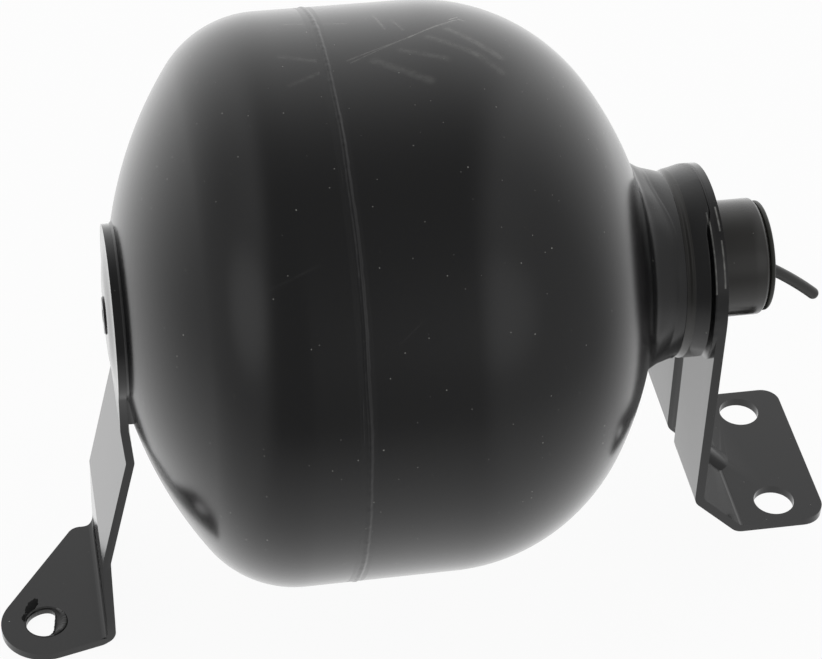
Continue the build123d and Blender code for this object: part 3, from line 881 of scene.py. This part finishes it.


# %% [markdown]
# ## Rubbed marks, painted edge highlights and dust
# Handling leaves scratches and pale streaks in black paint. Noise would scatter them evenly, so
# each one is a straight stroke with its own width on the vessel unrolled to millimetres: along
# the axis, and round it from the front upwards. The same pale strokes also paint highlights along
# the edge of the port bracket's plate rim and of the weld beside it, in place of the light those
# rounded edges catch. A noise of 1.5 mm breaks the strokes up. Dust is a cell pattern with one
# dot in a cell. Real grains are too fine to show, so a dot is drawn up to 0.2 mm in radius.

# %% Rubbed marks, painted edge highlights and dust
STROKE_GRAIN, DUST_CELL, DUSTY_PATCH = 1.5, 1.6, 16.0
DUST_SMALLEST, DUST_LARGEST = 0.05, 0.12


def stroke(tree, wrap, start, end, half_width):
    """One on a straight line of the unrolled surface and zero past its half width, in mm."""
    way = (end[0] - start[0], end[1] - start[1], 0)
    from_start = add(tree, "VectorMath", {0: wrap, 1: (*start, 0)}, operation="SUBTRACT").outputs[0]
    dot = add(tree, "VectorMath", {0: from_start, 1: way}, operation="DOT_PRODUCT")
    part = add(
        tree,
        "Math",
        {0: dot.outputs["Value"], 1: way[0] ** 2 + way[1] ** 2},
        operation="DIVIDE",
        use_clamp=True,
    )
    foot = add(tree, "VectorMath", {0: way, "Scale": part.outputs[0]}, operation="SCALE")
    gap = add(tree, "VectorMath", {0: from_start, 1: foot.outputs[0]}, operation="DISTANCE")
    return add(
        tree,
        "MapRange",
        {"Value": gap.outputs["Value"], "From Max": half_width, "To Min": 1.0, "To Max": 0.0},
        interpolation_type="SMOOTHSTEP",
    ).outputs["Result"]


def unrolled(tree, place):
    """Place along the axis, and the angle from the front upwards times the shell's radius."""
    parts = add(tree, "SeparateXYZ", {0: place}).outputs
    front = add(tree, "Math", {0: parts["Y"], 1: -1.0}, operation="MULTIPLY").outputs[0]
    angle = add(tree, "Math", {0: parts["Z"], 1: front}, operation="ARCTAN2").outputs[0]
    across = add(tree, "Math", {0: parts["X"], 1: 1 / MM}, operation="MULTIPLY").outputs[0]
    up = add(tree, "Math", {0: angle, 1: SHELL_RADIUS}, operation="MULTIPLY").outputs[0]
    return add(tree, "CombineXYZ", {"X": across, "Y": up}).outputs[0]


def rubbed_marks_and_highlights(tree, place, tint, marks):
    """Mixes each mark's paler shade over the tint, as deep as its stroke and the noise say; the
    marks are rubbed wear and painted edge highlights.
    """
    wrap = unrolled(tree, place)
    stroke_noise = add(tree, "TexNoise", {"Vector": place, "Scale": per_mm(STROKE_GRAIN), "Detail": 3.0})
    broken = add(
        tree,
        "MapRange",
        {"Value": stroke_noise.outputs["Fac"], "From Min": 0.38, "From Max": 0.62, "To Min": 0.45},
    ).outputs["Result"]
    # Each stroke paints rubbed wear on the vessel and painted edge highlights on the bracket plate
    # and weld.
    for start, end, half_width, depth, shade in marks:
        line = stroke(tree, wrap, start, end, half_width)
        deep = add(tree, "Math", {0: line, 1: depth}, operation="MULTIPLY").outputs[0]
        rub_and_highlight = add(tree, "Math", {0: deep, 1: broken}, operation="MULTIPLY").outputs[0]
        mixed = {"Factor": rub_and_highlight, "A": tint, "B": linear(shade)}
        tint = add(tree, "Mix", mixed, data_type="RGBA").outputs["Result"]
    return tint


def speckled(tree, place, share):
    """Dust: in each cell of a pattern one dot of its own size, kept only in dusty patches."""
    cells = add(tree, "TexVoronoi", {"Vector": place, "Scale": per_mm(DUST_CELL)}).outputs
    dice = add(tree, "SeparateColor", {0: cells["Color"]}).outputs
    patches = add(
        tree, "TexNoise", {"Vector": place, "Scale": per_mm(DUSTY_PATCH), "Detail": 1.0}
    ).outputs
    level = {"Value": patches["Fac"], "From Min": 0.4, "From Max": 0.7}
    level = add(tree, "MapRange", {**level, "To Min": 0.3 * share, "To Max": share}).outputs
    kept = add(tree, "Math", {0: dice["Red"], 1: level["Result"]}, operation="LESS_THAN")
    size = {"Value": dice["Green"], "To Min": DUST_SMALLEST, "To Max": DUST_LARGEST}
    size = add(tree, "MapRange", size).outputs["Result"]
    inner = add(tree, "Math", {0: size, 1: 0.6}, operation="MULTIPLY").outputs[0]
    dot = {"Value": cells["Distance"], "From Min": inner, "From Max": size}
    dot = add(tree, "MapRange", {**dot, "To Min": 1.0, "To Max": 0.0}).outputs["Result"]
    faint = add(tree, "MapRange", {"Value": dice["Blue"], "To Min": 0.15, "To Max": 0.7})
    shown = add(tree, "Math", {0: dot, 1: kept.outputs[0]}, operation="MULTIPLY").outputs[0]
    shown = {0: shown, 1: faint.outputs["Result"]}
    return add(tree, "Math", shown, operation="MULTIPLY").outputs[0]


# %% [markdown]
# ## Paint
# The vessel is dipped in black enamel. Enamel is a dielectric with an index near 1.5, so its own
# colour hardly counts: the eye sees the tent mirrored in it, softened by a faint orange peel of a
# few thousandths of a millimetre. The peel's width and depth depend on what lies under the paint.

# %% Paint
DUST = "#b4b4ae"
ENAMEL_IOR = 1.5


def painted(name, colour, roughness, peel_mm, peel_depth, dust_share, marks=()):
    """Black enamel over steel: even colour, faint orange peel, dust, pale rubbed marks and painted
    edge highlights.
    """
    material, tree, place = new_material(name)
    peel = add(tree, "TexNoise", {"Vector": place, "Scale": per_mm(peel_mm), "Detail": 2.0})
    relief = {"Height": peel.outputs["Fac"], "Strength": 1.0, "Distance": peel_depth * MM}
    relief = add(tree, "Bump", relief).outputs["Normal"]
    dusty = {"Factor": speckled(tree, place, dust_share), "A": linear(colour), "B": linear(DUST)}
    tint = add(tree, "Mix", dusty, data_type="RGBA").outputs["Result"]
    if marks:
        tint = rubbed_marks_and_highlights(tree, place, tint, marks)
    enamel = {"Base Color": tint, "Roughness": roughness, "IOR": ENAMEL_IOR, "Normal": relief}
    surface = add(tree, "BsdfPrincipled", enamel)
    add(tree, "OutputMaterial", {"Surface": surface.outputs["BSDF"]})
    print(f"{name}: {len(marks)} marks, {len(tree.nodes)} nodes")
    return material


# The first colour is the pale rubbed chalk on the vessel and also the colour of the painted edge
# highlights on the bracket plate and weld.
CHALK_AND_HIGHLIGHT, BRIGHT = "#8f8f8c", "#c9c9c4"
vessel_marks = (
    ((3.6, 92.7), (16.8, 99.3), 0.35, 0.25, CHALK_AND_HIGHLIGHT),
    ((16.8, 99.3), (25.9, 105.2), 0.35, 0.55, CHALK_AND_HIGHLIGHT),
    ((4.2, 91.9), (26.8, 105.3), 0.3, 0.25, CHALK_AND_HIGHLIGHT),
    ((26.0, 105.4), (27.9, 106.8), 0.25, 0.4, BRIGHT),
    ((26.5, 106.7), (28.4, 108.4), 0.25, 0.4, BRIGHT),
    ((28.4, 107.3), (29.5, 106.7), 0.25, 0.4, BRIGHT),
    ((25.4, 102.0), (34.2, 92.8), 1.6, 0.22, CHALK_AND_HIGHLIGHT),
    ((20.8, 98.9), (29.5, 92.7), 1.4, 0.18, CHALK_AND_HIGHLIGHT),
    ((29.5, 92.7), (33.6, 87.7), 1.8, 0.12, CHALK_AND_HIGHLIGHT),
    ((9.0, 91.9), (18.7, 85.0), 1.7, 0.14, CHALK_AND_HIGHLIGHT),
    ((14.8, 94.9), (23.1, 91.1), 1.3, 0.14, CHALK_AND_HIGHLIGHT),
    ((11.7, 111.9), (12.9, 103.7), 0.5, 0.35, CHALK_AND_HIGHLIGHT),
    ((14.9, 108.0), (16.4, 102.7), 0.5, 0.25, CHALK_AND_HIGHLIGHT),
    ((-6.7, 110.2), (5.9, 107.9), 0.35, 0.3, CHALK_AND_HIGHLIGHT),
    ((-9.2, 95.8), (-2.2, 93.4), 1.1, 0.12, CHALK_AND_HIGHLIGHT),
    ((-8.7, 86.5), (-0.9, 90.3), 0.8, 0.12, CHALK_AND_HIGHLIGHT),
    ((-17.6, 43.5), (-7.8, 47.3), 0.4, 0.035, CHALK_AND_HIGHLIGHT),
    ((6.0, 30.9), (11.1, 35.2), 0.25, 0.04, CHALK_AND_HIGHLIGHT),
)
# Painted highlights: pale lines along the port bracket plate's rim edge and along the collar weld
# beside it, in place of the light that these rounded edges catch.
plate_edge_highlights = (
    ((79.9, 72.0), (79.9, 57.0), 0.3, 1.0, CHALK_AND_HIGHLIGHT),
    ((79.9, 51.5), (79.9, 25.0), 0.3, 0.9, CHALK_AND_HIGHLIGHT),
)
weld_edge_highlights = (((78.05, 70.0), (78.05, 22.0), 0.25, 0.9, CHALK_AND_HIGHLIGHT),)
# Drawn steel: the smooth shells show the orange peel and every rubbed mark.
vessel_paint = painted("dipped_black_paint", "#101011", 0.2, 1.6, 0.004, 0.5, vessel_marks)
# Rolled sheet: the paint levels out on it and shines a little more.
# Its marks are painted highlights along the plate rim's edge.
sheet_paint = painted(
    "dipped_black_paint_on_sheet", "#121213", 0.16, 1.2, 0.003, 0.3, plate_edge_highlights
)
# Weld metal: its scale shows through as a tighter relief, and dust settles in it.
# Its one mark is a painted highlight along the collar weld next to the plate rim.
weld_paint = painted(
    "black_paint_on_weld_metal", "#131314", 0.26, 0.8, 0.012, 0.7, weld_edge_highlights
)
# Turned steel: the coat is thin there, so it looks a little browner and less black.
turned_paint = painted("black_paint_on_turned_steel", "#2b2a28", 0.22, 1.2, 0.004, 0.3)

# %% [markdown]
# ## Steel, rubber and plastic
# Machined steel is a metal with fine turning grain, and the eye sees it only when the model is
# opened. Moulded nitrile rubber is a dark dielectric with a soft sheen; where it is torn it
# glistens, and a dried smear is dull. The plug is moulded soft plastic, olive black, and its thin
# tail has gone paler, as such plastic does where it has been bent.

# %% Steel, rubber and plastic


def plain_finish(name, colour, roughness, metallic, grain_mm, depth, specular=0.5, paler=None):
    """Fine grain and a slight change of roughness; past a place on X the colour may go paler."""
    material, tree, place = new_material(name)
    noise = add(tree, "TexNoise", {"Vector": place, "Scale": per_mm(grain_mm), "Detail": 3.0})
    grain, tint = noise.outputs["Fac"], linear(colour)
    relief = add(tree, "Bump", {"Height": grain, "Strength": 1.0, "Distance": depth * MM})
    shine = {"Value": grain, "To Min": roughness - 0.06, "To Max": roughness + 0.06}
    if paler:
        far_colour, start, end = paler
        across = add(tree, "SeparateXYZ", {0: place}).outputs["X"]
        far = {"Value": across, "From Min": start * MM, "From Max": end * MM}
        far = add(tree, "MapRange", far).outputs["Result"]
        mixed = {"Factor": far, "A": tint, "B": linear(far_colour)}
        tint = add(tree, "Mix", mixed, data_type="RGBA").outputs["Result"]
    surface = add(
        tree,
        "BsdfPrincipled",
        {
            "Base Color": tint,
            "Roughness": add(tree, "MapRange", shine).outputs["Result"],
            "Metallic": metallic,
            "Specular IOR Level": specular,
            "Normal": relief.outputs["Normal"],
        },
    )
    add(tree, "OutputMaterial", {"Surface": surface.outputs["BSDF"]})
    print(f"{name}: {len(tree.nodes)} nodes")
    return material


TAIL_START = RIM_X + RIM_THICKNESS
bare_steel = plain_finish("machined_steel", "#8d8c88", 0.32, 1.0, 0.8, 0.004)
nitrile = plain_finish("moulded_nitrile_rubber", "#1b1b1c", 0.6, 0.0, 0.5, 0.01)
torn_rubber = plain_finish("torn_nitrile_rubber", "#0c0c0b", 0.3, 0.0, 0.9, 0.05)
dried_rubber = plain_finish("dried_rubber_smear", "#060606", 0.9, 0.0, 0.7, 0.03, 0.35)
plug_plastic = plain_finish(
    "moulded_soft_plastic",
    "#262721",
    0.45,
    0.0,
    0.6,
    0.006,
    paler=("#3c3c3a", TAIL_START + 0.3, TAIL_START + 1.3),
)

# %% [markdown]
# ## Which piece gets which finish
# Each piece takes its finish here. The pieces inside the vessel are plain CAD solids, because
# nothing shows of them until the model is opened, and they get a real finish all the same.

# %% Finishes
finishes = {
    gas_half: vessel_paint,
    fluid_half: vessel_paint,
    girth: weld_paint,
    fitting: turned_paint,
    cone: weld_paint,
    collar_weld: weld_paint,
    pad_weld: weld_paint,
    dish: sheet_paint,
    remnant: torn_rubber,
    smears: dried_rubber,
    port_sheet: sheet_paint,
    end_sheet: sheet_paint,
    plug: plug_plastic,
}
for piece, material in finishes.items():
    piece.data.materials.append(material)
cad_finishes = {
    "support_ring": bare_steel,
    "clamp_ring": bare_steel,
    "closing_button": bare_steel,
    "charge_plug": sheet_paint,
    "diaphragm": nitrile,
    "charge_plug_seal": nitrile,
}
for node, material in cad_finishes.items():
    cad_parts[node].data.materials.clear()
    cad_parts[node].data.materials.append(material)
print(len(finishes), "pieces and", len(cad_finishes), "CAD solids have their finish")

# %% [markdown]
# ## Floor
# Black gloss paint shows its surroundings more than itself, so the floor matters as much as the
# lamps. It is one white board just under the lowest foot, lit from below round the part. Seen
# directly it is almost white, and a share of plain diffuse white keeps a soft shadow on it. In a
# reflection it is brightest near the part and fades into the tent's walls further out.

# %% Floor
FLOOR_Z, FLOOR_HALF = cad_low.z / MM, 12000.0
BOARD_GLOW = 0.94
POOL_CENTRE, POOL_NEAR, POOL_FAR, POOL_GLOW = (0.02, 0.008, -0.077), 0.045, 0.51, 1.2
floor_side = (-FLOOR_HALF, FLOOR_HALF)
floor_corners = np.array([(x, y, FLOOR_Z) for x in floor_side for y in floor_side])
floor = piece_from_faces("studio_floor", floor_corners, np.array([[0, 2, 3, 1]]))
floor_white, floor_tree, floor_place = new_material("matt_white_board")
seen = add(floor_tree, "LightPath").outputs
direct = add(
    floor_tree,
    "Math",
    {0: seen["Is Camera Ray"], 1: seen["Is Transmission Ray"]},
    operation="MAXIMUM",
)
lit = add(floor_tree, "Math", {0: direct.outputs[0], 1: BOARD_GLOW}, operation="MULTIPLY")
matt = add(floor_tree, "BsdfDiffuse", {"Color": linear("#f4f4f4")})
glow = add(floor_tree, "Emission", {"Color": linear("#ffffff"), "Strength": 1.0})
board = add(floor_tree, "MixShader", {0: lit.outputs[0], 1: matt.outputs[0], 2: glow.outputs[0]})
offset = add(floor_tree, "VectorMath", {0: floor_place, 1: POOL_CENTRE}, operation="SUBTRACT")
reach = add(floor_tree, "VectorMath", {0: offset.outputs[0]}, operation="LENGTH")
step = add(floor_tree, "Math", {0: reach.outputs["Value"], 1: 10.0}, operation="LOGARITHM")
edges = {"From Min": math.log10(POOL_NEAR), "From Max": math.log10(POOL_FAR)}
fade = add(
    floor_tree, "MapRange", {"Value": step.outputs[0], **edges}, interpolation_type="SMOOTHSTEP"
)
pool = add(floor_tree, "Emission", {"Color": linear("#ffffff"), "Strength": POOL_GLOW})
beyond = add(floor_tree, "BsdfTransparent")
mirrored = add(
    floor_tree, "MixShader", {0: fade.outputs["Result"], 1: pool.outputs[0], 2: beyond.outputs[0]}
)
surface = add(
    floor_tree,
    "MixShader",
    {0: seen["Is Glossy Ray"], 1: board.outputs[0], 2: mirrored.outputs[0]},
)
add(floor_tree, "OutputMaterial", {"Surface": surface.outputs[0]})
floor.data.materials.append(floor_white)
print("floor at z =", round(FLOOR_Z, 2), "mm")

# %% [markdown]
# ## Camera
# The camera looks down on the vessel from the front with a long lens, so the shapes stay almost
# free of perspective. Its three axes are written as plain vectors.

# %% Camera
camera_right = Vector((0.98452, -0.17347, 0.02484))
camera_up = Vector((0.09299, 0.63734, 0.76494))
camera_back = Vector((-0.1485, -0.7508, 0.6436))
camera_place = Vector((-69.84, -445.79, 370.47)) * MM
FOCAL_PIXELS, FRAME_PIXELS = 2787.77, 822
lens = bpy.data.cameras.new("studio_camera")
lens.sensor_fit = "HORIZONTAL"
lens.sensor_width = 36.0
lens.lens = FOCAL_PIXELS / FRAME_PIXELS * lens.sensor_width
camera = bpy.data.objects.new("studio_camera", lens)
turn = Matrix((camera_right, camera_up, camera_back)).transposed().to_4x4()
camera.matrix_world = Matrix.Translation(camera_place) @ turn
bpy.context.scene.collection.objects.link(camera)
bpy.context.scene.camera = camera
bpy.context.scene.view_settings.view_transform = "Standard"
print("lens:", round(lens.lens, 1), "mm, distance:", round(camera_place.length, 3), "m")

# %% [markdown]
# ## Studio light
# The vessel stands in a white tent with a slit in front for the lens. The slit shows as a dark
# band down the middle of the gloss, the walls beside it are a soft grey, two small panels glow
# in front, and the wall behind is the brightest. A world shader paints that tent as brightness
# by direction, so it lights every side of the part and never stands in the way of a view.

# %% Studio light
WALLS, SLIT = 0.56, 0.29
GLOWS = {
    "wall behind": ((0.21, 0.98, 0.0), -0.04, 1.07, 1.0),
    "roof": ((0.0, 0.0, 1.0), 0.46, 1.35, 0.34),
    "left panel": ((-0.79, -0.50, 0.35), 0.89, 1.0, 0.45),
    "right panel": ((0.38, -0.83, 0.40), 0.88, 1.0, 0.36),
}
SLIT_SIDE, SLIT_DEPTH = (0.981, -0.194, 0.0), (0.0, 1.0, 0.0)
world = bpy.data.worlds.new("white_tent")
bpy.context.scene.world = world
world.use_nodes = True
sky = world.node_tree
sky.nodes.clear()
direction = add(sky, "TexCoord").outputs["Generated"]
walls = WALLS
for name, (axis, start, end, strongest) in GLOWS.items():
    facing = add(sky, "VectorMath", {0: direction, 1: axis}, operation="DOT_PRODUCT")
    edges = {"From Min": start, "From Max": end, "To Max": strongest}
    glow = add(
        sky,
        "MapRange",
        {"Value": facing.outputs["Value"], **edges},
        interpolation_type="SMOOTHSTEP",
    )
    walls = add(sky, "Math", {0: glow.outputs["Result"], 1: walls}, operation="ADD").outputs[0]
    print(f"{name}: up to {WALLS + strongest:.2f} bright")
aside = add(sky, "VectorMath", {0: direction, 1: SLIT_SIDE}, operation="DOT_PRODUCT")
aside = add(sky, "Math", {0: aside.outputs["Value"]}, operation="ABSOLUTE").outputs[0]
depth = add(sky, "VectorMath", {0: direction, 1: SLIT_DEPTH}, operation="DOT_PRODUCT")
slit = 1.0
for value, start, end in ((aside, 0.26, 0.54), (depth.outputs["Value"], -0.32, 1.24)):
    edges = {"From Min": start, "From Max": end, "To Min": 1.0, "To Max": 0.0}
    inside = add(sky, "MapRange", {"Value": value, **edges}, interpolation_type="SMOOTHSTEP")
    slit = add(sky, "Math", {0: inside.outputs["Result"], 1: slit}, operation="MULTIPLY").outputs[0]
strength = add(sky, "Mix", {"Factor": slit, "A": walls, "B": SLIT}).outputs["Result"]
tent = add(sky, "Background", {"Color": linear("#ffffff"), "Strength": strength})
add(sky, "OutputWorld", {"Surface": tent.outputs[0]})
